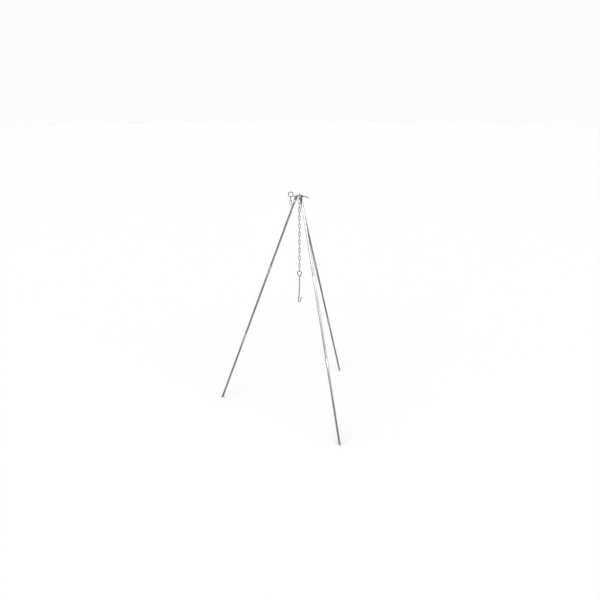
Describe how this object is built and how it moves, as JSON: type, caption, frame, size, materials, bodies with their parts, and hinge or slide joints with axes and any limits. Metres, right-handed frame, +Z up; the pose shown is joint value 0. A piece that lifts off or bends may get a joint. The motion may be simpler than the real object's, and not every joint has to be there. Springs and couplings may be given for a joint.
{
  "type": "campfire tripod",
  "caption": "Free-standing campfire tripod: sectioned tube legs on a head ring, with a hanging chain, a height pin and a pot hook.",
  "frame": {"origin": "on the ground, at the middle of the box round the feet", "axes": "+Z up; -X towards the leg that stands opposite the other two; the hook's J bend lies in the X-Z plane"},
  "size_m": [0.6627, 0.7407, 1.1485],
  "materials": {
    "tube": "bright plated tube, satin",
    "sleeve": "polished plated collar",
    "wire": "bright plated round wire",
    "chain": "zinc-plated welded chain",
    "foot": "dark worn steel plug"
  },
  "bodies": {
    "head": {"head_ring": "wire"},
    "height_pin": {"height_pin": "wire"},
    "left_leg_upper": {"left_upper_tube": "tube", "left_upper_sleeve": "sleeve"},
    "left_leg_middle": {"left_middle_tube": "tube", "left_lower_sleeve": "sleeve"},
    "left_leg_lower": {"left_lower_tube": "tube", "left_foot_tip": "foot"},
    "rear_leg_upper": {"rear_upper_tube": "tube", "rear_upper_sleeve": "sleeve"},
    "rear_leg_middle": {"rear_middle_tube": "tube", "rear_lower_sleeve": "sleeve"},
    "rear_leg_lower": {"rear_lower_tube": "tube", "rear_foot_tip": "foot"},
    "front_leg_upper": {"front_upper_tube": "tube", "front_upper_sleeve": "sleeve"},
    "front_leg_middle": {"front_middle_tube": "tube", "front_lower_sleeve": "sleeve"},
    "front_leg_lower": {"front_lower_tube": "tube", "front_foot_tip": "foot"},
    "link_01": {"chain_link_01": "chain"},
    "link_02": {"chain_link_02": "chain"},
    "link_03": {"chain_link_03": "chain"},
    "link_04": {"chain_link_04": "chain"},
    "link_05": {"chain_link_05": "chain"},
    "link_06": {"chain_link_06": "chain"},
    "link_07": {"chain_link_07": "chain"},
    "link_08": {"chain_link_08": "chain"},
    "link_09": {"chain_link_09": "chain"},
    "link_10": {"chain_link_10": "chain"},
    "link_11": {"chain_link_11": "chain"},
    "link_12": {"chain_link_12": "chain"},
    "link_13": {"chain_link_13": "chain"},
    "link_14": {"chain_link_14": "chain"},
    "link_15": {"chain_link_15": "chain"},
    "link_16": {"chain_link_16": "chain"},
    "link_17": {"chain_link_17": "chain"},
    "link_18": {"chain_link_18": "chain"},
    "link_19": {"chain_link_19": "chain"},
    "hook": {"pot_hook": "wire"},
    "spare_1": {"spare_link_1": "chain"},
    "spare_2": {"spare_link_2": "chain"}
  },
  "joints": [
    {"name": "left_leg_fold", "type": "hinge", "parent": "head", "child": "left_leg_upper", "pos_m": [0.09008, 0.01293, 1.125], "axis": [0, -1, 0], "range_deg": [0, 15]},
    {"name": "left_leg_middle_pull", "type": "slide", "parent": "left_leg_upper", "child": "left_leg_middle", "axis": [-0.348, 0, -0.9375], "range_m": [0, 0.02]},
    {"name": "left_leg_lower_pull", "type": "slide", "parent": "left_leg_middle", "child": "left_leg_lower", "axis": [-0.348, 0, -0.9375], "range_m": [0, 0.02]},
    {"name": "rear_leg_fold", "type": "hinge", "parent": "head", "child": "rear_leg_upper", "pos_m": [0.10407, 0.02671, 1.12948], "axis": [-0.8387, 0.5446, 0], "range_deg": [0, 15]},
    {"name": "rear_leg_middle_pull", "type": "slide", "parent": "rear_leg_upper", "child": "rear_leg_middle", "axis": [0.184, 0.2833, -0.9412], "range_m": [0, 0.02]},
    {"name": "rear_leg_lower_pull", "type": "slide", "parent": "rear_leg_middle", "child": "rear_leg_lower", "axis": [0.184, 0.2833, -0.9412], "range_m": [0, 0.02]},
    {"name": "front_leg_fold", "type": "hinge", "parent": "head", "child": "front_leg_upper", "pos_m": [0.11428, 0.00268, 1.12167], "axis": [0.866, 0.5, 0], "range_deg": [0, 15]},
    {"name": "front_leg_middle_pull", "type": "slide", "parent": "front_leg_upper", "child": "front_leg_middle", "axis": [0.1777, -0.3078, -0.9347], "range_m": [0, 0.02]},
    {"name": "front_leg_lower_pull", "type": "slide", "parent": "front_leg_middle", "child": "front_leg_lower", "axis": [0.1777, -0.3078, -0.9347], "range_m": [0, 0.02]},
    {"name": "height_pin_draw", "type": "hinge", "parent": "head", "child": "height_pin", "pos_m": [0.10458, 0.00873, 1.042], "axis": [0, -1, 0], "range_deg": [0, 20]},
    {"name": "hook_swing", "type": "hinge", "parent": "link_19", "child": "hook", "pos_m": [0.10458, 0.00873, 0.75075], "axis": [0, -1, 0], "range_deg": [-45, 45]},
    {"name": "link_01_turn", "type": "hinge", "parent": "head", "child": "link_01", "pos_m": [0.10458, 0.00873, 1.13], "axis": [1, 0, 0], "range_deg": [-4, 10]},
    {"name": "link_02_turn", "type": "hinge", "parent": "link_01", "child": "link_02", "pos_m": [0.10458, 0.00873, 1.11075], "axis": [0, -1, 0], "range_deg": [-8, 8]},
    {"name": "link_03_turn", "type": "hinge", "parent": "link_02", "child": "link_03", "pos_m": [0.10458, 0.00873, 1.09075], "axis": [-1, 0, 0], "range_deg": [-25, 25]},
    {"name": "link_04_turn", "type": "hinge", "parent": "link_03", "child": "link_04", "pos_m": [0.10458, 0.00873, 1.07075], "axis": [0, 1, 0], "range_deg": [-15, 15]},
    {"name": "link_05_turn", "type": "hinge", "parent": "link_04", "child": "link_05", "pos_m": [0.10458, 0.00873, 1.05075], "axis": [1, 0, 0], "range_deg": [-30, 30]},
    {"name": "link_06_turn", "type": "hinge", "parent": "link_05", "child": "link_06", "pos_m": [0.10458, 0.00873, 1.03075], "axis": [0, -1, 0], "range_deg": [-15, 15]},
    {"name": "link_07_turn", "type": "hinge", "parent": "link_06", "child": "link_07", "pos_m": [0.10458, 0.00873, 1.01075], "axis": [-1, 0, 0], "range_deg": [-30, 30]},
    {"name": "link_08_turn", "type": "hinge", "parent": "link_07", "child": "link_08", "pos_m": [0.10458, 0.00873, 0.99075], "axis": [0, 1, 0], "range_deg": [-15, 15]},
    {"name": "link_09_turn", "type": "hinge", "parent": "link_08", "child": "link_09", "pos_m": [0.10458, 0.00873, 0.97075], "axis": [1, 0, 0], "range_deg": [-30, 30]},
    {"name": "link_10_turn", "type": "hinge", "parent": "link_09", "child": "link_10", "pos_m": [0.10458, 0.00873, 0.95075], "axis": [0, -1, 0], "range_deg": [-15, 15]},
    {"name": "link_11_turn", "type": "hinge", "parent": "link_10", "child": "link_11", "pos_m": [0.10458, 0.00873, 0.93075], "axis": [-1, 0, 0], "range_deg": [-30, 30]},
    {"name": "link_12_turn", "type": "hinge", "parent": "link_11", "child": "link_12", "pos_m": [0.10458, 0.00873, 0.91075], "axis": [0, 1, 0], "range_deg": [-15, 15]},
    {"name": "link_13_turn", "type": "hinge", "parent": "link_12", "child": "link_13", "pos_m": [0.10458, 0.00873, 0.89075], "axis": [1, 0, 0], "range_deg": [-30, 30]},
    {"name": "link_14_turn", "type": "hinge", "parent": "link_13", "child": "link_14", "pos_m": [0.10458, 0.00873, 0.87075], "axis": [0, -1, 0], "range_deg": [-15, 15]},
    {"name": "link_15_turn", "type": "hinge", "parent": "link_14", "child": "link_15", "pos_m": [0.10458, 0.00873, 0.85075], "axis": [-1, 0, 0], "range_deg": [-30, 30]},
    {"name": "link_16_turn", "type": "hinge", "parent": "link_15", "child": "link_16", "pos_m": [0.10458, 0.00873, 0.83075], "axis": [0, 1, 0], "range_deg": [-15, 15]},
    {"name": "link_17_turn", "type": "hinge", "parent": "link_16", "child": "link_17", "pos_m": [0.10458, 0.00873, 0.81075], "axis": [1, 0, 0], "range_deg": [-30, 30]},
    {"name": "link_18_turn", "type": "hinge", "parent": "link_17", "child": "link_18", "pos_m": [0.10458, 0.00873, 0.79075], "axis": [0, -1, 0], "range_deg": [-15, 15]},
    {"name": "link_19_turn", "type": "hinge", "parent": "link_18", "child": "link_19", "pos_m": [0.10458, 0.00873, 0.77075], "axis": [-1, 0, 0], "range_deg": [-15, 15]},
    {"name": "spare_1_turn", "type": "hinge", "parent": "height_pin", "child": "spare_1", "pos_m": [0.06308, 0.00873, 1.12375], "axis": [1, 0, 0], "range_deg": [-30, 30]},
    {"name": "spare_2_turn", "type": "hinge", "parent": "spare_1", "child": "spare_2", "pos_m": [0.06308, 0.00873, 1.1045], "axis": [0, 1, 0], "range_deg": [-2, 30]}
  ]
}
